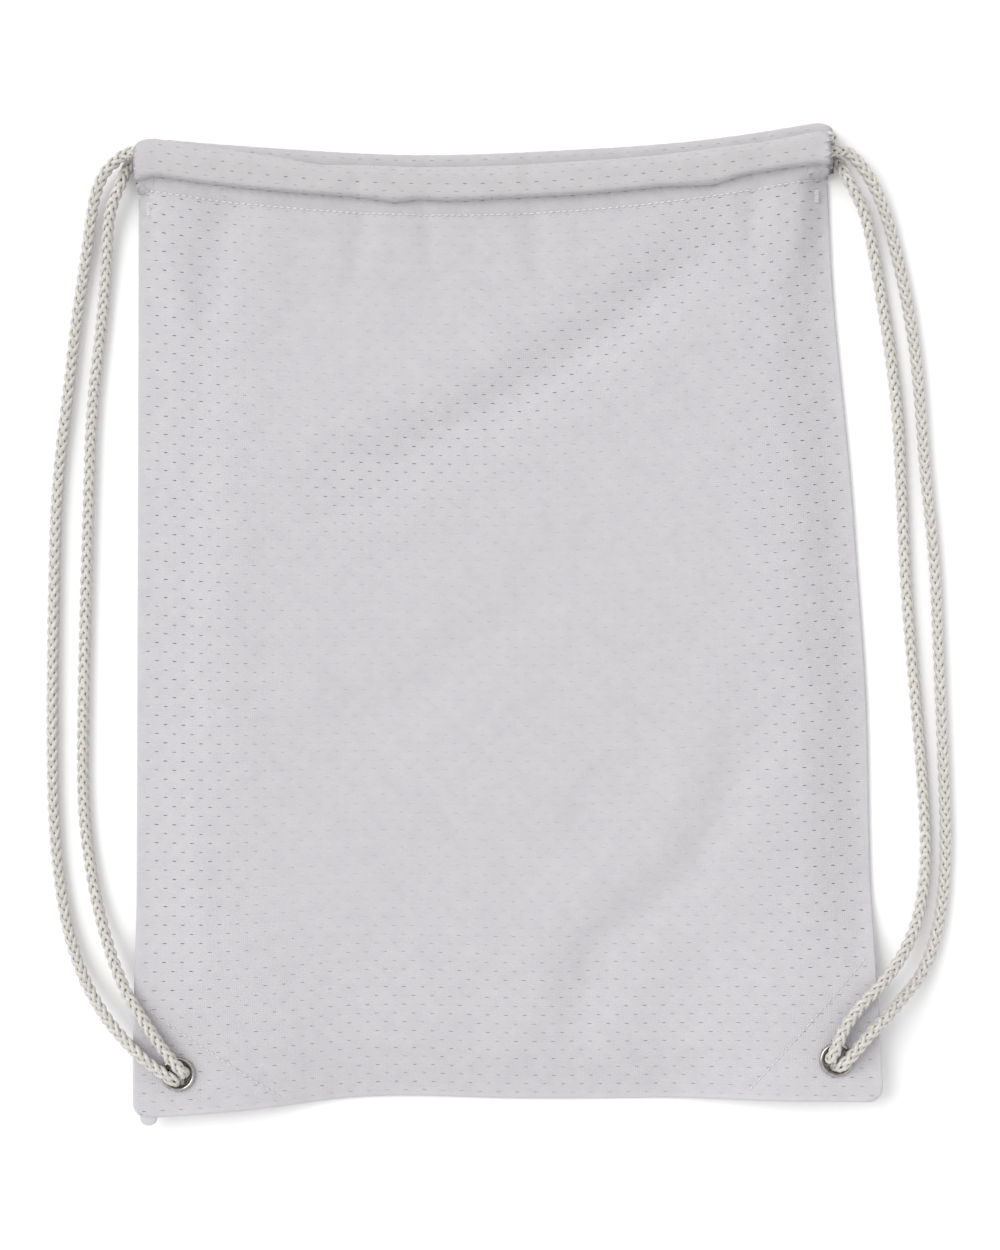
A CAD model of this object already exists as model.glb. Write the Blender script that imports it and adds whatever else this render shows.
import bpy
import math
import numpy as np
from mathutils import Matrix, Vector


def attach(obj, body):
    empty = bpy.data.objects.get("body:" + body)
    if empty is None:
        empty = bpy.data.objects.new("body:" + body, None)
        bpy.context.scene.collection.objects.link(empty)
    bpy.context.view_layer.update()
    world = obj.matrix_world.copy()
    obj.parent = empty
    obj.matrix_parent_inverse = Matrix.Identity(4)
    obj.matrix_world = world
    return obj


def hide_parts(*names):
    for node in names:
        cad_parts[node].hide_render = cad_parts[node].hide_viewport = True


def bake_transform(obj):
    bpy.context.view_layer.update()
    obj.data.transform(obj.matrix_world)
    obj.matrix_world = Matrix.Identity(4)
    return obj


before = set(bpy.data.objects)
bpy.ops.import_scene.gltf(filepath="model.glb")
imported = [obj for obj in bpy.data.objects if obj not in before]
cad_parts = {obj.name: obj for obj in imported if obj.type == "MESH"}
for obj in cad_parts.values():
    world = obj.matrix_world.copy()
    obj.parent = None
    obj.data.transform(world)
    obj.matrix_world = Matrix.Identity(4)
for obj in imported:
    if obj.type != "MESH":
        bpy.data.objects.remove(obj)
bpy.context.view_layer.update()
MM = 0.001

# ---------------------------------------------------------------- sizes, in mm
BOTTOM_Y = -231.5
BAG_HEIGHT = 463.0
CLOTH_HEIGHT = 425.0        # from the bottom edge to the hem rows
BOTTOM_HALF = 176.0         # half the breadth at the bottom
TAPER = 11.6                # how much nearer each side is at the mouth
BOTTOM_HOLLOW = 3.0         # how far the bottom edge runs in at the middle
CLOTH = 0.8
HALF_CLOTH = CLOTH / 2
LAYER_GAP = 0.3             # air between two layers that lie on each other
EDGE_INSET = 0.6            # from BOTTOM_Y to the ends of the bottom edge
CORNER_ROUND = 6.0

KNOT_ROOM = 12.3            # height of the bottom corners over the floor
KNOT_RAMP = 68.0            # length over which the cloth climbs to a corner
KNOT_RAMP_X, KNOT_RAMP_Y = 70.0, -125.0

SIDE_RAMP = 34.0            # breadth over which the front cloth rises from a seam
RAMP_CUT_LEFT, RAMP_CUT_RIGHT = 27.0, 19.0      # how much shorter that is at the mouth
POCKET_RISE, MOUTH_RISE = 6.5, 4.5
BOW_OUT, RUN_IN = 2.2, 4.8  # of the right edge, half way down and at the mouth

CASING_HALF = 155.5
FRONT_CASING_END, FRONT_CASING_SAG, FRONT_CASING_Z = 218.5, 14.0, 17.0
BACK_CASING_END, BACK_CASING_SAG, BACK_CASING_Z = 220.5, 10.8, 4.0
HEM_START = 13.5            # from a casing's middle line to where its cloth leaves the panel
HEM_ROW = 14.0              # from the same line to the stitches
MOUTH_ROUND = 7.0           # rounding of a casing's upper corners

HOLE_PITCH_X, HOLE_PITCH_Y = 8.87, 4.13
HOLE_LONG, HOLE_SHORT = 2.5, 1.0
COLUMNS, ROWS = 40, 101     # of holes in a panel
CASING_PITCH = 8.4

EYELET_X, EYELET_Y = 155.1, -211.3
CORD_DIAMETER = 6.0
KNOT_Z = 5.2
STEM_SPREAD = 3.05          # of the two cords in an eyelet, from its middle
SEAM_TOP = 203.0
BARTACK_Y = 197.0
LOWEST = 0.05               # of the cloth and the knots, just off the floor


def ease(t):
    """Rises smoothly from 0 to 1 as t does."""
    t = np.clip(t, 0.0, 1.0)
    return t * t * (3.0 - 2.0 * t)


def half_width(y):
    return BOTTOM_HALF - TAPER * (y - BOTTOM_Y) / BAG_HEIGHT


def right_bow(x, y):
    """The x of a place once the right side bows out half way down and runs in at the mouth."""
    shift = BOW_OUT * np.exp(-(((y + 40.0) / 62.0) ** 2)) - RUN_IN * ease((y - 40.0) / 130.0)
    return x + shift * ease((x - 60.0) / 100.0)


def lift(x, y):
    """How far the knots raise the bag at a place."""
    across = ease((np.abs(x) - KNOT_RAMP_X) / KNOT_RAMP)
    return KNOT_ROOM * across * ease((KNOT_RAMP_Y - y) / KNOT_RAMP)


def inner_height(x, y):
    """Height just inside the bag, on its back cloth."""
    return lift(x, y) + CLOTH + LAYER_GAP


# Fold lines of the front cloth: points, depth, half breadth.
FOLDS = (
    (((114, 180), (64, 142), (47, 129), (-4, 97), (-71, 65)), 3.0, 11.0),
    (((-124, 196), (-139, 130), (-144, 59), (-149, -12), (-147, -83)), 2.2, 10.0),
    (((-60, 194), (-66, 146)), 1.3, 5.0),
    (((-30, 194), (-25, 152)), 1.1, 4.6),
    (((19, 194), (25, 148)), 1.3, 5.2),
    (((130, 205), (126, 160)), 1.7, 5.0),
    (((126, -39), (91, -121), (47, -154), (22, -219)), 2.4, 11.0),
    (((-83, -201), (-17, -215)), 1.7, 9.0),
    (((160, 76), (158, 10)), 1.6, 5.0),
    (((40, 30), (-30, -30), (-90, -60)), 1.2, 12.0),
    (((-60, -80), (10, -120), (60, -90)), 1.0, 13.0),
)


def line_distance(x, y, points):
    """Distance of places from a line through points."""
    best = np.full(np.shape(x), 1e9)
    for (ax, ay), (bx, by) in zip(points, points[1:]):
        dx, dy = bx - ax, by - ay
        t = np.clip(((x - ax) * dx + (y - ay) * dy) / (dx * dx + dy * dy), 0.0, 1.0)
        best = np.minimum(best, np.hypot(x - ax - t * dx, y - ay - t * dy))
    return best


def fold_height(x, y):
    """Valleys with soft shoulders along the fold lines, on cloth that is never quite flat."""
    z = np.zeros(np.shape(x))
    for points, depth, breadth in FOLDS:
        d = line_distance(x, y, points)
        (ax, ay), (bx, by) = points[0], points[-1]
        fade = min(45.0, 0.7 * math.hypot(bx - ax, by - ay))
        share = 0.1 + 0.9 * ease(np.hypot(x - bx, y - by) / fade)
        if ay < 190.0:
            share = share * (0.2 + 0.8 * ease(np.hypot(x - ax, y - ay) / fade))
        z -= depth * share * np.exp(-((d / breadth) ** 2))
        z += 0.3 * depth * share * np.exp(-(((d - 2.2 * breadth) / (1.2 * breadth)) ** 2))
    z += 0.45 * np.sin(x / 23.0 + 1.7 * np.sin(y / 41.0)) * np.sin(y / 29.0 + 0.6)
    z += 0.22 * np.sin(x / 9.0 + y / 31.0) * np.sin(y / 12.0 + x / 47.0)
    return z


def front_surface(x, y):
    """Middle of the front cloth, before its right side is bowed."""
    cut = RAMP_CUT_LEFT + (RAMP_CUT_RIGHT - RAMP_CUT_LEFT) * ease((x + 40.0) / 80.0)
    ramp = SIDE_RAMP - cut * ease((y - 120.0) / 80.0)
    rise = POCKET_RISE + MOUTH_RISE * ease((y - 145.0) / 50.0)
    body = ease((half_width(y) - np.abs(x)) / ramp) * ease((y - BOTTOM_Y) / SIDE_RAMP)
    away = 1.0 - lift(x, y) / KNOT_ROOM
    off_eyelet = ease((np.hypot(np.abs(x) - EYELET_X, y - EYELET_Y) - 8.0) / 30.0)
    z = inner_height(x, y) + CLOTH + LAYER_GAP + rise * body * away + HALF_CLOTH
    return z + fold_height(x, y) * (0.12 + 0.88 * body) * (0.05 + 0.95 * off_eyelet)


def back_surface(x, y):
    """Middle of the back cloth, before its right side is bowed."""
    z = np.maximum(0.0, lift(x, y) - 0.1) + HALF_CLOTH
    waves = 1.0 + np.sin(x / 19.0 + y / 37.0) * np.sin(y / 23.0)
    off_seam = ease((half_width(y) - np.abs(x)) / 20.0)
    return z + 0.35 * waves * off_seam * (1.0 - lift(x, y) / KNOT_ROOM)


def bottom_edge(x):
    """The y of the bottom edge, with the rise that the photograph shows left of the middle."""
    hollow = BOTTOM_HOLLOW * (1.0 - np.clip(np.abs(x) / 171.0, 0.0, 1.0) ** 2)
    return BOTTOM_Y + EDGE_INSET + hollow + 3.6 * np.exp(-(((x + 62.0) / 52.0) ** 2))


def front_casing_y(x):
    return FRONT_CASING_END - FRONT_CASING_SAG * (1.0 - (x / CASING_HALF) ** 2)


def back_casing_y(x):
    return BACK_CASING_END - BACK_CASING_SAG * (1.0 - (x / CASING_HALF) ** 2)


def on_front(x, y):
    """Height of the front cloth at a place on the finished bag."""
    return front_surface(2.0 * x - right_bow(x, y), y)


def on_back(x, y):
    """Height of the back cloth at a place on the finished bag."""
    return back_surface(2.0 * x - right_bow(x, y), y)


# ---------------------------------------------------------------- materials
LET_THROUGH = 0.3           # share of the light that passes through the cloth


def shader(name, colour, roughness, metallic=0.0, sheen=0.0):
    """A material with its nodes, its links and its Principled node."""
    material = bpy.data.materials.new(name)
    material.use_nodes = True
    nodes, links = material.node_tree.nodes, material.node_tree.links
    surface = nodes["Principled BSDF"]
    surface.inputs["Base Color"].default_value = (*colour, 1.0)
    surface.inputs["Roughness"].default_value = roughness
    surface.inputs["Metallic"].default_value = metallic
    surface.inputs["Sheen Weight"].default_value = sheen
    surface.inputs["Sheen Roughness"].default_value = 0.5
    return material, nodes, links, surface


def noise_node(nodes, links, place, scale, detail):
    made = nodes.new("ShaderNodeTexNoise")
    made.inputs["Scale"].default_value = scale
    made.inputs["Detail"].default_value = detail
    links.new(place.outputs["Object"], made.inputs["Vector"])
    return made


def wave_node(nodes, links, place, direction, scale, distortion):
    made = nodes.new("ShaderNodeTexWave")
    made.bands_direction = direction
    made.inputs["Scale"].default_value = scale
    made.inputs["Distortion"].default_value = distortion
    made.inputs["Detail"].default_value = 2.0
    links.new(place.outputs["Object"], made.inputs["Vector"])
    return made


def tint(nodes, links, surface, factor, dark, light):
    """Colours a surface from dark to light by a factor."""
    ramp = nodes.new("ShaderNodeValToRGB")
    ramp.color_ramp.elements[0].position = 0.3
    ramp.color_ramp.elements[1].position = 0.7
    ramp.color_ramp.elements[0].color = (*dark, 1.0)
    ramp.color_ramp.elements[1].color = (*light, 1.0)
    links.new(factor, ramp.inputs["Fac"])
    links.new(ramp.outputs["Color"], surface.inputs["Base Color"])


def bump(nodes, links, surface, height, strength, distance, under=None):
    """Relief on a surface, over another relief where one is given."""
    made = nodes.new("ShaderNodeBump")
    made.inputs["Strength"].default_value = strength
    made.inputs["Distance"].default_value = distance
    links.new(height, made.inputs["Height"])
    if under is not None:
        links.new(under.outputs["Normal"], made.inputs["Normal"])
    links.new(made.outputs["Normal"], surface.inputs["Normal"])
    return made


def knit_material(name, dark, light):
    """Fine warp knit of wales and courses, with loose fibres and a sheen, that lets light through."""
    material, nodes, links, surface = shader(name, light, 0.82, sheen=0.35)
    place = nodes.new("ShaderNodeTexCoord")
    wales = wave_node(nodes, links, place, "X", 350.0, 1.6)
    courses = wave_node(nodes, links, place, "Y", 300.0, 1.2)
    fibres = noise_node(nodes, links, place, 1400.0, 3.0)
    blotches = noise_node(nodes, links, place, 160.0, 4.0)
    weave = nodes.new("ShaderNodeMath")
    weave.operation = "MULTIPLY"
    links.new(wales.outputs["Fac"], weave.inputs[0])
    links.new(courses.outputs["Fac"], weave.inputs[1])
    tint(nodes, links, surface, blotches.outputs["Fac"], dark, light)
    rows = bump(nodes, links, surface, weave.outputs["Value"], 0.5, 0.00025)
    bump(nodes, links, surface, fibres.outputs["Fac"], 0.35, 0.0002, rows)
    through = nodes.new("ShaderNodeBsdfTranslucent")
    through.inputs["Color"].default_value = (*light, 1.0)
    mix = nodes.new("ShaderNodeMixShader")
    mix.inputs["Fac"].default_value = LET_THROUGH
    links.new(surface.outputs["BSDF"], mix.inputs[1])
    links.new(through.outputs["BSDF"], mix.inputs[2])
    links.new(mix.outputs["Shader"], nodes["Material Output"].inputs["Surface"])
    return material


def braid_material(name, dark, light):
    """Satin twisted yarn with fine filaments."""
    material, nodes, links, surface = shader(name, light, 0.42, sheen=0.25)
    place = nodes.new("ShaderNodeTexCoord")
    yarn = noise_node(nodes, links, place, 700.0, 4.0)
    filaments = noise_node(nodes, links, place, 2600.0, 2.0)
    tint(nodes, links, surface, yarn.outputs["Fac"], dark, light)
    coarse = bump(nodes, links, surface, yarn.outputs["Fac"], 0.3, 0.0003)
    bump(nodes, links, surface, filaments.outputs["Fac"], 0.3, 0.00012, coarse)
    return material


def nickel_material():
    """Nickel plate, a little worn."""
    material, nodes, links, surface = shader("nickel", (0.42, 0.4, 0.375), 0.2, 1.0)
    place = nodes.new("ShaderNodeTexCoord")
    wear = noise_node(nodes, links, place, 420.0, 5.0)
    tint(nodes, links, surface, wear.outputs["Fac"], (0.34, 0.32, 0.3), (0.52, 0.5, 0.47))
    bump(nodes, links, surface, wear.outputs["Fac"], 0.1, 0.0001)
    return material


KNIT = knit_material("white_mesh_knit", (0.655, 0.64, 0.665), (0.7, 0.686, 0.708))
CASING = knit_material("casing_knit", (0.635, 0.615, 0.635), (0.68, 0.66, 0.678))
PATCH = knit_material("patch_knit", (0.7, 0.685, 0.71), (0.745, 0.73, 0.75))
THREAD = braid_material("sewing_thread", (0.6, 0.585, 0.605), (0.68, 0.665, 0.685))
BRAID = braid_material("braided_yarn", (0.46, 0.44, 0.41), (0.63, 0.61, 0.575))
NICKEL = nickel_material()


# ---------------------------------------------------------------- mesh helpers
def mesh_object(name, points_mm, faces, material, slot):
    mesh = bpy.data.meshes.new(name)
    mesh.from_pydata((np.asarray(points_mm, float) * MM).tolist(), [], faces)
    mesh.materials.append(material)
    mesh.update()
    mesh.polygons.foreach_set("use_smooth", [True] * len(mesh.polygons))
    made = bpy.data.objects.new(name, mesh)
    bpy.context.scene.collection.objects.link(made)
    return made


def distance_along(points):
    """How far along a line each of its points lies."""
    return np.concatenate([[0.0], np.cumsum(np.linalg.norm(np.diff(points, axis=0), axis=1))])


def directions(points):
    """Unit vectors along a line, one at each of its points."""
    step = np.gradient(points, axis=0)
    return step / np.linalg.norm(step, axis=1)[:, None]


def joined(parts):
    """Vertices and faces of several meshes as one."""
    verts, faces, start = [], [], 0
    for part_verts, part_faces in parts:
        verts.append(part_verts)
        faces += [tuple(i + start for i in face) for face in part_faces]
        start += len(part_verts)
    return np.vstack(verts), faces


# A cell of the knit has eight outer points, and a rim and a hole of the same eight inside them.
CELL = ((-1, -1), (0, -1), (1, -1), (1, 0), (1, 1), (0, 1), (-1, 1), (-1, 0))
ROUNDING = 0.76             # share of its full reach that a ring's corner has
RIM_ACROSS, RIM_UP, RIM_DROP = 0.27, 0.31, -0.12
HOLE_DROP = -0.1


def openness(x, y):
    """How far the knit is stretched open: more at the sides, corners and along the long fold."""
    side = ease((np.abs(x) - 95.0) / 60.0)
    fold = np.exp(-((line_distance(x, y, FOLDS[0][0]) / 22.0) ** 2))
    lower = 0.5 * ease((-130.0 - y) / 60.0)
    return 0.13 + 0.28 * np.maximum(np.maximum(side, fold), lower)


def holed_cloth(columns, rows, place, opening):
    """Knit with staggered oval holes.

    place turns arrays of columns, rows and drops into places in mm, and opening says how wide
    the hole at a column and row stands open, from 0 to 1.
    """
    found, spots, faces = {}, [], []

    def corner(c2, r2):
        """The shared point at a place given in half cells."""
        key = (c2, r2)
        if key not in found:
            found[key] = len(spots)
            spots.append((c2 / 2.0, r2 / 2.0, 0.0))
        return found[key]

    def ring(c, r, across, up, drop):
        start = len(spots)
        for dx, dy in CELL:
            size = 1.0 if dx == 0 or dy == 0 else ROUNDING
            spots.append((c + dx * size * across, r + dy * size * up, drop))
        return [start + i for i in range(8)]

    for row in range(rows):
        shift = row % 2
        for column in range(columns - shift):
            c2, r2 = 2 * column + 1 + shift, 2 * row + 1
            outline = [corner(c2 + dx, r2 + dy) for dx, dy in CELL]
            c, r = c2 / 2.0, r2 / 2.0
            rim = ring(c, r, RIM_ACROSS, RIM_UP, RIM_DROP)
            wide = opening(c, r)
            across, up = HOLE_LONG * (0.75 + 0.25 * wide), HOLE_SHORT * wide
            hole = ring(c, r, across / 2 / HOLE_PITCH_X, up / 2 / HOLE_PITCH_Y, HOLE_DROP)
            for i in range(8):
                j = (i + 1) % 8
                faces.append((outline[i], outline[j], rim[j], rim[i]))
                faces.append((rim[i], rim[j], hole[j], hole[i]))
        if shift:
            low, high, last = 2 * row, 2 * row + 2, 2 * columns
            left = ((0, low), (1, low), (1, low + 1), (1, high), (0, high))
            right = ((last, low), (last, high), (last - 1, high), (last - 1, low + 1), (last - 1, low))
            faces.append(tuple(corner(*at) for at in left))
            faces.append(tuple(corner(*at) for at in right))
    spots = np.array(spots)
    return place(spots[:, 0], spots[:, 1], spots[:, 2]), faces


def open_eyelets(points, faces, radius=7.35):
    """Cuts a round hole for each eyelet and snaps the cloth's edge to it."""
    inside = np.zeros(len(points), bool)
    for side in (-1.0, 1.0):
        dx, dy = points[:, 0] - side * EYELET_X, points[:, 1] - EYELET_Y
        away = np.maximum(np.hypot(dx, dy), 1e-6)
        near = away < radius
        inside |= near
        points[near, 0] = side * EYELET_X + dx[near] / away[near] * radius
        points[near, 1] = EYELET_Y + dy[near] / away[near] * radius
    return [f for f in faces if not all(inside[i] for i in f)]


def strip_faces(count, sides):
    """Faces of a tube of count rings, closed at both ends."""
    faces = []
    for i in range(count - 1):
        for j in range(sides):
            a, b = i * sides + j, i * sides + (j + 1) % sides
            faces.append((a, b, b + sides, a + sides))
    faces.append(tuple(reversed(range(sides))))
    faces.append(tuple((count - 1) * sides + j for j in range(sides)))
    return faces


def carried_frames(tangent):
    """Normals carried along a line without twist."""
    normal = np.zeros_like(tangent)
    first = np.cross(tangent[0], (0.3, 0.2, 0.9))
    normal[0] = first / np.linalg.norm(first)
    for i in range(1, len(tangent)):
        n = normal[i - 1] - tangent[i] * np.dot(normal[i - 1], tangent[i])
        normal[i] = n / np.linalg.norm(n)
    return normal, np.cross(tangent, normal)


def rings(points, angles, one, other):
    """Points round a line: at each angle, so much of one direction and so much of the other."""
    cosines, sines = np.cos(angles)[None, :, None], np.sin(angles)[None, :, None]
    around = cosines * one[:, None] + sines * other[:, None]
    return (points[:, None] + around).reshape(-1, 3)


def tube(points, radius, sides):
    """Vertices and faces of a round tube along points."""
    normal, binormal = carried_frames(directions(points))
    angles = np.arange(sides) * 2 * math.pi / sides
    return rings(points, angles, radius * normal, radius * binormal), strip_faces(len(points), sides)


# ---------------------------------------------------------------- cords
def evenly(points, step=1.3):
    """The same line with a point every step, and its length."""
    run = distance_along(points)
    at = np.linspace(0.0, run[-1], int(run[-1] / step) + 1)
    return np.column_stack([np.interp(at, run, points[:, k]) for k in range(3)]), run[-1]


def read_curve(name, route):
    """Evenly spaced points along the smooth curve of a route, kept above the floor."""
    data = bpy.data.curves.new(name + "_line", "CURVE")
    data.dimensions = "3D"
    data.resolution_u = 16
    spline = data.splines.new("NURBS")
    spline.points.add(len(route) - 1)
    for point, place in zip(spline.points, route):
        point.co = (*place, 1.0)
    spline.order_u = 3
    spline.use_endpoint_u = True
    line = bpy.data.objects.new(name + "_line", data)
    bpy.context.scene.collection.objects.link(line)
    bpy.context.view_layer.update()
    mesh = bpy.data.meshes.new_from_object(line)
    points = np.array([v.co for v in mesh.vertices], float)
    bpy.data.objects.remove(line)
    bpy.data.meshes.remove(mesh)
    points, length = evenly(points)
    points[:, 2] = np.maximum(points[:, 2], CORD_DIAMETER / 2 + 0.2)
    return points, length


def facing_turn(tangent, normal, binormal, spread_over=31):
    """The angle of the upward side in the carried frame, smoothed over so many points."""
    flat = np.hypot(tangent[:, 0], tangent[:, 1]) > 0.6
    if not flat.any():
        return np.zeros(len(tangent))
    angle = np.unwrap(np.arctan2(binormal[flat, 2], normal[flat, 2]))
    at = np.arange(len(tangent))
    spread = np.interp(at, at[flat], angle)
    kernel = np.ones(spread_over) / spread_over
    padded = np.pad(spread, spread_over // 2, mode="edge")
    return np.convolve(padded, kernel, mode="valid")


def braid(points, lay=21.0, core=1.88, wave=0.45, wide=1.08, thick=0.8, sides=6):
    """Eight flat yarns, four each way, in a herringbone: each passes over two and under two."""
    tangent = directions(points)
    normal, binormal = carried_frames(tangent)
    upward = facing_turn(tangent, normal, binormal) + 0.25 * np.sin(np.arange(len(points)) / 41.0)
    run = distance_along(points)
    around = np.arange(sides) * 2 * math.pi / sides
    yarns = []
    for hand in (1.0, -1.0):
        for yarn in range(4):
            turn = hand * (2 * math.pi * run / lay) + yarn * math.pi / 2 + 0.05 * np.sin(run / 37.0)
            radius = core + hand * wave * np.tanh(2.2 * np.cos(2.0 * (turn - math.pi / 4)))
            angle = turn + upward
            out = np.cos(angle)[:, None] * normal + np.sin(angle)[:, None] * binormal
            centre = points + radius[:, None] * out
            side = np.cross(directions(centre), out)
            side /= np.linalg.norm(side, axis=1)[:, None]
            yarns.append((rings(centre, around, wide * side, thick * out), strip_faces(len(points), sides)))
    return joined(yarns)


# Points of the cords, in mm. The outer and inner strands run from the mouth to the eyelet.
LEFT_STUB_OUT = ((-156.0, -214.2, 13.0), (-156.0, -214.2, 17.4))
LEFT_STUB_IN = ((-152.2, -210.4, 17.4), (-152.2, -210.4, 13.0))
RIGHT_STUB_OUT = ((156.0, -214.2, 13.0), (156.0, -214.2, 17.4))
RIGHT_STUB_IN = ((152.2, -210.4, 17.4), (152.2, -210.4, 13.0))
LEFT_OUTER = (
    (-174.22, 221.49, 9.45), (-181.4, 215.6, 8.7), (-186.4, 205.5, 6.6), (-189.1, 192.5, 4.6),
    (-191.6, 176.5, 3.3), (-196.6, 149, 3.05), (-201.6, 112, 3.05), (-208.2, 66, 3.05),
    (-210.6, 14, 3.05), (-212.6, -40, 3.05), (-213.2, -93, 3.05), (-209.6, -134, 3.4),
    (-201.5, -163.5, 6.6), (-189.5, -184, 13.5), (-178.0, -196.2, 19.0), (-170.4, -203.4, 20.8),
    (-163.2, -208.8, 21.0), (-157.2, -213.4, 20.8),
)
LEFT_INNER = (
    (-173.69, 209.51, 9.75), (-178, 201, 8.4), (-180.6, 190.5, 6.4), (-181.6, 177, 4.5),
    (-183, 160, 3.3), (-186, 136, 3.05), (-190.6, 103, 3.05), (-193, 60, 3.05),
    (-195.4, 12, 3.05), (-197.6, -38, 3.05), (-199, -86, 3.05), (-194.6, -124, 4.0),
    (-187.4, -152.5, 9.2), (-178.6, -173, 16.6), (-168.4, -188.0, 20.1), (-160.9, -199.8, 21.0),
    (-155.4, -206.2, 21.2), (-152.6, -209.9, 20.8),
)
LEFT_CASING = (
    (-173.01, 211.99, 7.6), (-172.2, 215.0, 5.0), (-169.3, 220.4, 3.7), (-162.8, 224.2, 3.8),
    (-148, 223.1, 4), (-126, 220.3, 4), (-88, 216.7, 4), (-38, 213.9, 4), (20, 213.4, 4),
    (74, 215.6, 4), (115, 219.1, 4), (142, 222.2, 4), (162.5, 224.6, 4), (162.5, 223.0, 17),
    (142, 219.7, 17), (114, 215.6, 17), (73, 211.1, 17), (20, 208.2, 17), (-39, 208.9, 17),
    (-89, 212.6, 17), (-126, 217.2, 17), (-148, 220.8, 17), (-159.0, 222.8, 16.9),
    (-165.6, 224.4, 14.3), (-171.36, 222.93, 10.97),
)
RIGHT_OUTER = (
    (169.7, 217.5, 9.45), (176.6, 211.4, 8.8), (183.4, 200.5, 6.8), (188.8, 187, 4.6),
    (193, 171, 3.4), (198.3, 145, 3.05), (202.6, 111, 3.05), (204.4, 68, 3.05),
    (208.6, 22, 3.05), (209.4, -26, 3.05), (210.4, -74, 3.05), (211.0, -117, 3.05),
    (206.8, -150.5, 3.8), (198.5, -172, 7.0), (187.4, -183, 13.4), (177.6, -192.6, 19.2),
    (169.8, -199.4, 20.9), (163.0, -207.6, 21.1), (157.2, -213.4, 20.8),
)
RIGHT_INNER = (
    (169.3, 205.51, 9.75), (174.4, 197, 8.4), (179, 186.5, 6.4), (182, 172.5, 4.5),
    (184.8, 155, 3.4), (188.6, 129, 3.05), (192.3, 96, 3.05), (193.4, 54, 3.05),
    (194.4, 8, 3.05), (197.6, -40, 3.05), (200.6, -86, 3.05), (201.4, -121, 3.2),
    (197.0, -146.5, 4.8), (188.4, -163.5, 10.2), (177.4, -175.5, 17.4), (166.0, -185.6, 20.4),
    (158.2, -196.0, 21.0), (154.4, -205.0, 21.2), (152.6, -209.9, 20.8),
)
RIGHT_CASING = (
    (168.62, 207.98, 7.61), (167.8, 211.0, 5.0), (164.5, 215.6, 3.7), (157.6, 217.4, 3.8),
    (146, 215.7, 4), (126, 213.3, 4), (88, 209.7, 4), (38, 206.9, 4), (-20, 206.4, 4),
    (-74, 208.6, 4), (-115, 212.1, 4), (-142, 215.2, 4), (-162.5, 217.6, 4), (-162.5, 216.0, 17),
    (-142, 212.7, 17), (-114, 208.6, 17), (-73, 204.1, 17), (-20, 201.2, 17), (39, 201.9, 17),
    (89, 205.6, 17), (126, 210.2, 17), (146, 213.4, 17), (155.0, 214.8, 16.9),
    (161.0, 216.6, 14.0), (166.2, 217.2, 11.15),
)


def knot(name, side):
    """The doubled cord's overhand knot under the corner, with its two cut tails."""
    t = np.linspace(0.0, 2 * math.pi, 61)
    centre = np.array((side * EYELET_X, EYELET_Y, KNOT_Z))
    loop_x = 2.15 * (np.sin(t) + 2 * np.sin(2 * t))
    loop_y = 2.6 * (np.cos(t) - 2 * np.cos(2 * t))
    lines = [np.column_stack([loop_x, loop_y, -2.2 * np.sin(3 * t)])]
    for way in (-1.0, 1.0):
        stem_y = way * STEM_SPREAD
        lines.append(np.array([(0, 0, -0.4), (0, stem_y, 4.6), (0, stem_y, 7.6), (0, stem_y, 10.2)]))
        lines.append(
            np.array([(0, 0, 0), (3 * way, -4, -1.2), (5.2 * way, -8.0, -1.8), (6.4 * way, -11.5, -1.9)])
        )
    verts, faces = joined([braid(evenly(centre + line)[0]) for line in lines])
    verts[:, 2] = np.maximum(verts[:, 2], LOWEST)
    return mesh_object(name, verts, faces, BRAID, "braided_cord")


def whole_cord(side_name, stub_out, outer, casing, inner, stub_in):
    """One cord from its eyelet round both casings and back, with its knot."""
    route = list(stub_out) + list(reversed(outer)) + list(reversed(casing)) + list(inner) + list(stub_in)
    points, length = read_curve(side_name, route)
    cord = mesh_object(side_name + "_drawcord", *braid(points), BRAID, "braided_cord")
    tied = knot(side_name + "_knot", -1.0 if side_name == "left" else 1.0)
    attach(tied, "bag")
    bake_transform(cord)
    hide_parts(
        side_name + "_cord_casing_run",
        side_name + "_cord_outer_strand", side_name + "_cord_inner_strand",
    )
    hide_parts(side_name + "_cord_knot")


whole_cord(
    "left", LEFT_STUB_OUT, LEFT_OUTER, LEFT_CASING, LEFT_INNER, LEFT_STUB_IN,
)
whole_cord(
    "right", RIGHT_STUB_OUT, RIGHT_OUTER, RIGHT_CASING, RIGHT_INNER, RIGHT_STUB_IN,
)


# ---------------------------------------------------------------- cloth
CORNER_X = half_width(BOTTOM_Y + CORNER_ROUND) - CORNER_ROUND
CORNER_Y = BOTTOM_Y + EDGE_INSET + CORNER_ROUND


def round_corners(x, y):
    """Draws the places outside a rounded bottom corner in to its arc."""
    dx, dy = np.abs(x) - CORNER_X, y - CORNER_Y
    away = np.hypot(dx, dy)
    outside = (dx > 0.0) & (dy < 0.0) & (away > CORNER_ROUND)
    share = np.where(outside, CORNER_ROUND / np.maximum(away, 1e-6), 1.0)
    new_x = np.where(outside, np.sign(x) * (CORNER_X + dx * share), x)
    return new_x, np.where(outside, CORNER_Y + dy * share, y)


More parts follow.
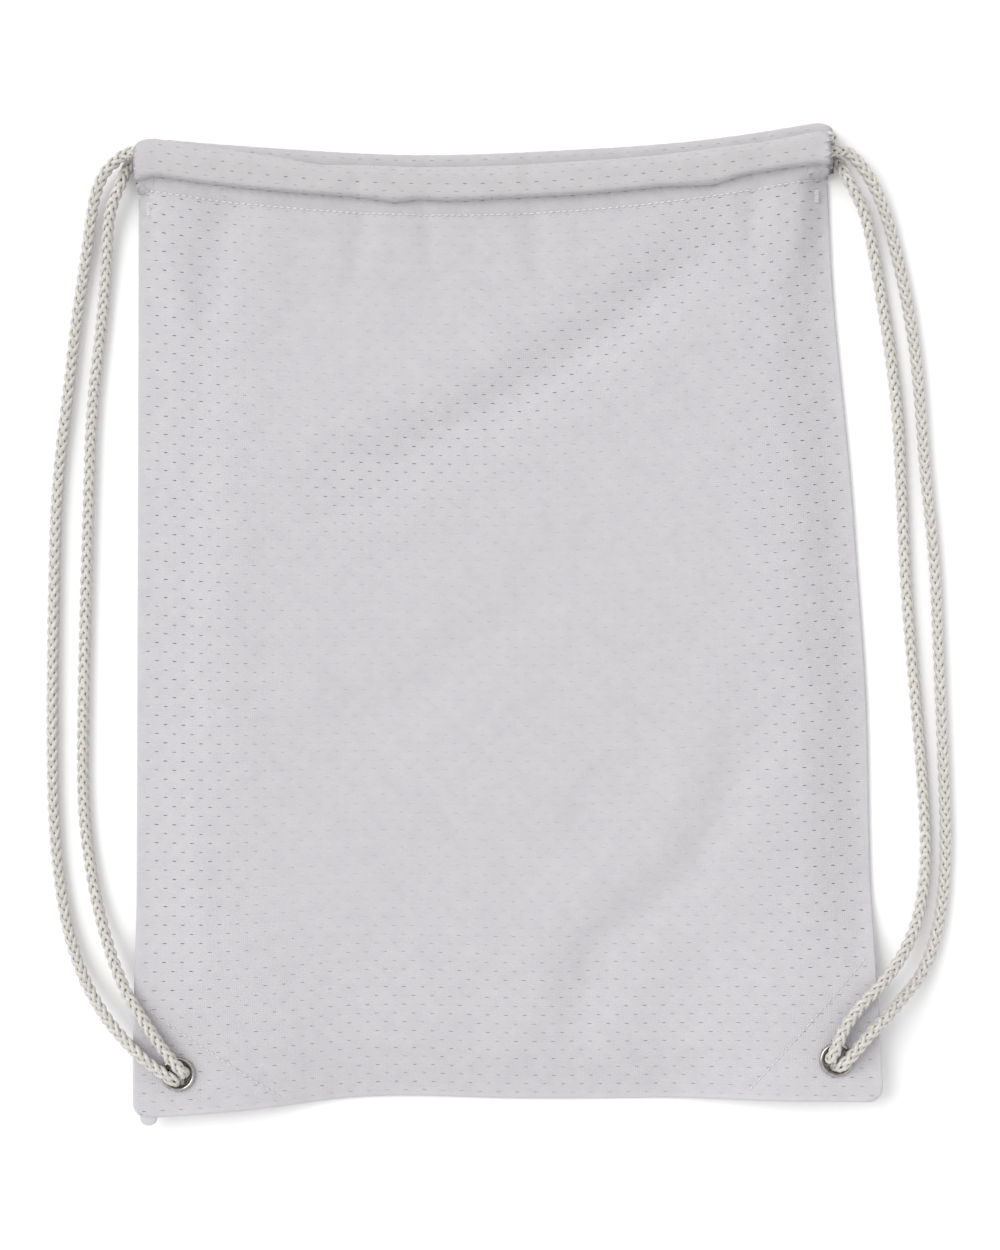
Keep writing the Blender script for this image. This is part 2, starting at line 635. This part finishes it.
def build_panel(name, casing_y, surface, node):
    """A panel of mesh from the bottom edge to its hem row."""
    def place(c, r, drop):
        x = (2.0 * c / COLUMNS - 1.0) * half_width(BOTTOM_Y + CLOTH_HEIGHT * (r / ROWS))
        low, high = bottom_edge(x), casing_y(np.clip(x, -165.0, 165.0)) - HEM_START
        x, y = round_corners(x, low + r / ROWS * (high - low))
        return np.column_stack([right_bow(x, y), y, surface(x, y) + drop])

    def opening(c, r):
        x = (2.0 * c / COLUMNS - 1.0) * 170.0
        uneven = 1.0 + 0.15 * math.sin(c * 12.9 + r * 78.2)
        return float(openness(x, BOTTOM_Y + CLOTH_HEIGHT * r / ROWS)) * uneven

    points, faces = holed_cloth(COLUMNS, ROWS, place, opening)
    faces = open_eyelets(points, faces)
    points[:, 2] = np.maximum(points[:, 2], LOWEST)
    cloth = mesh_object(name, points, faces, KNIT, "mesh_cloth")
    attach(cloth, "bag")
    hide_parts(node)


build_panel("front_cloth", front_casing_y, front_surface, "front_panel")
build_panel("back_cloth", back_casing_y, back_surface, "back_panel")

# Section of a casing, from its stitch row over the top and back underneath: across and up.
SECTION = np.array((
    (-HEM_START, -3.4), (-10.6, -3.4), (-11.4, -2.2), (-11.3, -0.6), (-10.4, 1.2), (-8.4, 2.8),
    (-5.0, 3.7), (0.0, 4.0), (4.6, 4.0), (8.0, 3.3), (10.4, 1.6), (11.2, -0.3), (10.2, -2.2),
    (8.2, -3.4), (4.0, -3.9), (-4.0, -3.95), (-9.0, -3.95), (-HEM_START, -3.9),
))
LOW_EDGE, FLAT_TOP = -11.3, 3.7     # across: the lower edge, and where the top may be slimmed

# How far the lower edge of the front casing is drawn up: x, rise.
CREASE_RISE = np.array((
    (-168.0, 2.6), (-158.0, 4.4), (-75.0, 4.6), (-60.0, 4.2), (-44.0, 2.6), (-34.0, 4.3),
    (-17.0, 3.6), (6.0, 4.6), (80.0, 4.6), (92.0, 3.6), (104.0, 2.2), (111.0, 3.0), (119.0, 4.6),
    (140.0, 4.6), (158.0, 3.4),
))
# The back casing's edge is drawn up by the same 1 mm everywhere.
BACK_RISE = np.array(((0.0, 1.0),))
# Small tucks across both casings: x, depth.
GATHERS = ((-62.0, 0.6), (-29.0, 0.5), (19.0, 0.55), (-92.0, 0.3), (66.0, 0.35), (130.0, 0.6))


def gather_depth(x, dy):
    """What the tucks and the uneven cloth add to the height of a casing's top."""
    depth = 0.0
    for at_x, deep in GATHERS:
        depth = depth - deep * np.exp(-(((x - at_x) / 3.2) ** 2))
    return depth + 0.22 * np.sin(x / 4.1) * np.sin(x / 17.0 + dy / 5.0)


def slimmed(x, narrow):
    """Share by which a casing's top is slimmed: most at the right end and in a dip on the left."""
    by_end = 0.5 * ease((x - 105.0) / 35.0)
    in_dip = 0.5 * np.exp(-(((x + 78.0) / 13.0) ** 2))
    return narrow * ease((x + 150.0) / 70.0) + narrow * (by_end + in_dip)


def build_casing(name, node, casing_y, middle_z, surface, ends, narrow, rise):
    """A tube of cloth along the mouth, with both ends turned in."""
    left_end, right_end = ends
    run = distance_along(SECTION)
    rows = int(round(run[-1] / HOLE_PITCH_Y))
    columns = int(round((right_end - left_end) / CASING_PITCH)) + 2
    turned = (right_end - left_end) / (columns - 2)
    total = right_end - left_end + 2 * turned

    def place(c, r, drop):
        s = left_end - turned + total * c / columns
        inside = (s < left_end) | (s > right_end)
        x = np.where(s < left_end, 2 * left_end - s, np.where(s > right_end, 2 * right_end - s, s))
        at = run[-1] * r / rows
        outer = at < run[-1] / 2
        dy, dz = np.interp(at, run, SECTION[:, 0]), np.interp(at, run, SECTION[:, 1])
        past = np.maximum(left_end + MOUTH_ROUND - x, x - right_end + MOUTH_ROUND) / MOUTH_ROUND
        past = np.clip(past, 0.0, 1.0)
        rounded = 1.0 - 0.42 * (1.0 - np.sqrt(np.maximum(0.0, 1.0 - past**2)))
        dy = np.where(dy > 0.0, dy * rounded, dy)
        share = ease((dy + HEM_START) / 2.0) * np.clip(dy / LOW_EDGE, 0.0, 1.0) ** 2
        dy = np.where(outer, dy + np.interp(x, *rise.T) * share, dy)
        dy = np.where(dy > FLAT_TOP, FLAT_TOP + (dy - FLAT_TOP) * (1.0 - slimmed(x, narrow)), dy)
        shrink = np.where(inside, 0.9, 1.0)
        y = casing_y(np.clip(x, -CASING_HALF, CASING_HALF)) + dy * shrink
        y = y + 0.35 * np.sin(x / 21.0) * (dy > 5.0)
        z = middle_z + dz * shrink + np.where(dz > 0.0, 1.0, 0.0) * gather_depth(x, dy) + drop
        on_cloth = surface(x, y)
        lower = np.where(outer, on_cloth, np.minimum(on_cloth - 0.5, z))
        free = ease((dy + HEM_START) / 3.5)
        z = np.where(dy < -10.0, lower * (1.0 - free) + z * free, z)
        return np.column_stack([x, y, np.maximum(z, 0.1)])

    def opening(c, r):
        """No holes on the turned edges."""
        s = left_end - turned + total * c / columns
        return 0.3 if min(abs(s - left_end), abs(s - right_end)) > 6.0 else 0.02

    points, faces = holed_cloth(columns, rows, place, opening)
    cloth = mesh_object(name, points, faces, CASING, "mesh_cloth")
    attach(cloth, "bag")
    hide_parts(node)


build_casing(
    "front_casing_cloth", "front_panel", front_casing_y, FRONT_CASING_Z, on_front,
    (-166.2, 161.3), 0.36, CREASE_RISE,
)
build_casing(
    "back_casing_cloth", "back_panel", back_casing_y, BACK_CASING_Z, on_back,
    (-158.0, 164.6), 0.0, BACK_RISE,
)


# ---------------------------------------------------------------- seams
FOLD_STEPS = 7
FOLD_BULGE = 1.1            # of a seam's fold past the edge of the cloth


def edge_strip(name, line, inward, node, allowance=(1.5, 4.0, 7.0, 9.5)):
    """A turned seam: a round outer fold joining both panels, and its allowance lying inside."""
    x, y = line[:, 0], line[:, 1]
    low, high = back_surface(x, y), front_surface(x, y)
    middle, radius = (low + high) / 2.0, (high - low) / 2.0
    profile = []
    for turn in np.linspace(-0.5 * math.pi, 0.5 * math.pi, FOLD_STEPS):
        spot = line - inward * np.cos(turn) * FOLD_BULGE
        profile.append(np.column_stack([spot, middle + radius * np.sin(turn)]))
    for reach in allowance:
        spot = line + inward * reach
        profile.append(np.column_stack([spot, inner_height(spot[:, 0], spot[:, 1]) + HALF_CLOTH]))
    across = len(profile)
    verts = np.stack(profile, axis=1).reshape(-1, 3)
    verts[:, 0] = right_bow(verts[:, 0], verts[:, 1])
    faces = []
    for i in range(len(line) - 1):
        for j in range(across - 1):
            if j == FOLD_STEPS - 1:
                continue
            a = i * across + j
            faces.append((a, a + 1, a + across + 1, a + across))
    made = mesh_object(name, verts, faces, KNIT, "mesh_cloth")
    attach(made, "bag")
    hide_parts(node)


def side_line(side):
    """The edge of the cloth on one side, from its rounded corner to the mouth."""
    y = np.linspace(CORNER_Y, SEAM_TOP, 216)
    return np.column_stack([side * half_width(y), y])


def bottom_line():
    """The bottom edge of the cloth, with both rounded corners."""
    x = np.linspace(-CORNER_X, CORNER_X, 172)
    turn = np.linspace(0.0, math.pi / 2, 10)[:-1]
    arc_x, arc_y = CORNER_X + CORNER_ROUND * np.cos(turn), CORNER_Y - CORNER_ROUND * np.sin(turn)
    corner = np.column_stack([arc_x, arc_y])
    return np.vstack([corner * (-1.0, 1.0), np.column_stack([x, bottom_edge(x)]), corner[::-1]])


for side, side_name in ((-1.0, "left"), (1.0, "right")):
    edge_strip(side_name + "_seam", side_line(side), np.array((-side, 0.0)), side_name + "_side_seam")

bottom = bottom_line()
along_bottom = directions(bottom)
up_from_bottom = np.column_stack([-along_bottom[:, 1], along_bottom[:, 0]])
edge_strip("bottom_seam_fold", bottom, up_from_bottom, "bottom_seam", (1.5, 3.5, 5.5))


def corner_nub(x=-169.6, y=-229.0, z=13.6, half=4.2, reach=6.4, steps=9, sides=16):
    """The small pad of cloth left standing at the lower left corner, where the seams cross."""
    verts = []
    for step in np.linspace(0.0, 1.0, steps):
        wide, thick = half * math.sqrt(1.0 - 0.92 * step**4), 1.0 - 0.5 * step
        for angle in np.arange(sides) * 2 * math.pi / sides:
            verts.append((x + wide * math.cos(angle), y - reach * step, z + thick * math.sin(angle)))
    nub = mesh_object("corner_nub", verts, strip_faces(steps, sides), KNIT, "mesh_cloth")
    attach(nub, "bag")


corner_nub()


# ---------------------------------------------------------------- patches and stitching
def patch(side, side_name, low=-218.0, size=62.0, inset=10.5, count=22):
    """Reinforcing triangle inside a corner."""
    verts, faces = [], []
    for i in range(count + 1):
        for j in range(count + 1):
            y = low + size * j / count * (1.0 - i / count)
            x = side * (half_width(y) - inset - size * i / count)
            verts.append((x, y, float(inner_height(x, y)) + 0.45))
    for i in range(count):
        for j in range(count):
            k = i * (count + 1) + j
            faces.append((k, k + 1, k + count + 2, k + count + 1))
    points = np.array(verts)
    faces = open_eyelets(points, faces)
    made = mesh_object(side_name + "_patch", points, faces, PATCH, "patch_cloth")
    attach(made, "bag")
    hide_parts(side_name + "_corner_patch")


STITCH_SWELL = np.array((0.35, 0.9, 1.0, 0.9, 0.35))


def stitches(name, line, surface, node, pitch=3.1, length=2.3, width=0.42, height=0.3):
    """A row of separate thread stitches sunk a little into the cloth."""
    run = distance_along(line)
    count = len(STITCH_SWELL)
    row = []
    for number in range(int(run[-1] / pitch)):
        at = (number + 0.5) * pitch + np.linspace(-0.5, 0.5, count) * length
        x, y = np.interp(at, run, line[:, 0]), np.interp(at, run, line[:, 1])
        ahead = np.array((x[-1] - x[0], y[-1] - y[0])) / math.hypot(x[-1] - x[0], y[-1] - y[0])
        across = np.outer(width * STITCH_SWELL, (-ahead[1], ahead[0], 0.0))
        up = np.outer(height * STITCH_SWELL, (0.0, 0.0, 1.0))
        z = surface(x, y) + 0.12 + 0.22 * np.sin(np.linspace(0.0, math.pi, count))
        points = np.column_stack([x, y, z])
        row.append((rings(points, np.arange(6) * math.pi / 3, across, up), strip_faces(count, 6)))
    made = mesh_object(name, *joined(row), THREAD, "thread")
    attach(made, "bag")
    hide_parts(node)


def bartack(side, side_name, threads=8, breadth=2.5, pitch=0.75, radius=0.34):
    """Threads laid close together across the top of a side seam."""
    x = float(right_bow(side * (half_width(BARTACK_Y) - 5.0), BARTACK_Y))
    packed = []
    for number in range(threads):
        y = BARTACK_Y - 2.8 + pitch * number
        z = float(on_front(x, y)) + 0.15
        t = np.linspace(0.0, 1.0, 6)
        points = np.column_stack([x + breadth * (t - 0.5), y + 0.3 * t, z + 0.12 * np.sin(math.pi * t)])
        packed.append(tube(points, radius, 6))
    made = mesh_object(side_name + "_bartack_threads", *joined(packed), THREAD, "thread")
    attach(made, "bag")
    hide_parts(side_name + "_bartack")


def under_back(x, y):
    """Height a little below the back cloth, for its stitches."""
    return on_back(x, y) - 0.75


# Both ends of the stitches across a patch.
PATCH_ROWS = {"left": ((-170.5, -180.0), (-106.0, -224.8)), "right": ((170.5, -164.0), (113.0, -226.3))}
for side, side_name in ((-1.0, "left"), (1.0, "right")):
    patch(side, side_name)
    row = np.linspace(*PATCH_ROWS[side_name], 40)
    stitches(
        side_name + "_patch_rows", row, front_surface, side_name + "_patch_stitching",
        width=0.32, height=0.2,
    )

hem_x = np.linspace(-163.0, 158.5, 160)
front_hem = np.column_stack([hem_x, front_casing_y(hem_x) - HEM_ROW])
back_hem = np.column_stack([hem_x, back_casing_y(hem_x) - HEM_ROW])
stitches("front_hem_row", front_hem, on_front, "front_hem_stitching")
stitches("back_hem_row", back_hem, under_back, "back_hem_stitching", height=0.25)

for side, side_name in ((-1.0, "left"), (1.0, "right")):
    bartack(side, side_name)


# ---------------------------------------------------------------- eyelets
def lathe(name, profile, side, node, segments=72):
    """A closed profile of radius and height, turned round an eyelet's axis."""
    count = len(profile)
    verts, faces = [], []
    for i in range(segments):
        angle = 2 * math.pi * i / segments
        for radius, z in profile:
            x, y = side * EYELET_X + radius * math.cos(angle), EYELET_Y + radius * math.sin(angle)
            verts.append((x, y, z))
    for i in range(segments):
        here, onward = i * count, (i + 1) % segments * count
        for j in range(count):
            k = (j + 1) % count
            faces.append((here + j, onward + j, onward + k, here + k))
    made = mesh_object(name, verts, faces, NICKEL, "eyelet_metal")
    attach(made, "bag")
    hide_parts(node)


# Radius and height: the rolled flange and barrel of an eyelet, and its washer.
RIM = (
    (8.1, 15.75), (8.12, 16.1), (8.0, 16.5), (7.75, 16.85), (7.4, 17.05), (7.05, 17.05), (6.7, 16.9),
    (6.4, 16.6), (6.22, 16.2), (6.15, 15.6), (6.15, 11.4), (6.3, 10.95), (6.7, 10.7), (7.1, 10.85),
    (7.2, 11.2), (6.95, 11.3), (6.95, 15.75),
)
WASHER = ((7.05, 11.4), (7.05, 12.0), (7.5, 12.1), (7.85, 12.0), (7.9, 11.7), (7.8, 11.4), (7.4, 11.3))
for side, side_name in ((-1.0, "left"), (1.0, "right")):
    lathe(side_name + "_eyelet_ring", RIM, side, side_name + "_eyelet")
    lathe(side_name + "_eyelet_back_ring", WASHER, side, side_name + "_eyelet_washer")


# ---------------------------------------------------------------- floor, light, camera
bpy.ops.mesh.primitive_plane_add(size=30.0, location=(0.0, 0.0, -0.0004))
floor = bpy.context.object
floor.name = "floor"
floor_material, _, _, _ = shader("pale_floor", (0.93, 0.93, 0.93), 0.95)
floor.data.materials.append(floor_material)

world = bpy.data.worlds.new("studio")
bpy.context.scene.world = world
world.use_nodes = True
world.node_tree.nodes["Background"].inputs["Color"].default_value = (1.0, 1.0, 1.0, 1.0)
world.node_tree.nodes["Background"].inputs["Strength"].default_value = 0.9

sun_data = bpy.data.lights.new("window", "SUN")
sun_data.energy = 1.6
sun_data.angle = math.radians(40)
sun = bpy.data.objects.new("window", sun_data)
bpy.context.scene.collection.objects.link(sun)
sun.rotation_euler = Vector((-0.6, 0.27, 0.85)).to_track_quat("Z", "Y").to_euler()

camera_data = bpy.data.cameras.new("camera")
camera_data.lens = 85.0
camera_data.sensor_width = 36.0
camera_data.clip_end = 20.0
camera = bpy.data.objects.new("camera", camera_data)
bpy.context.scene.collection.objects.link(camera)
camera.location = (0.0011, -0.0031, 1.4055)
camera.rotation_euler = (0.0, 0.0, math.radians(-1.25))
bpy.context.scene.camera = camera
bpy.context.scene.view_settings.view_transform = "Standard"
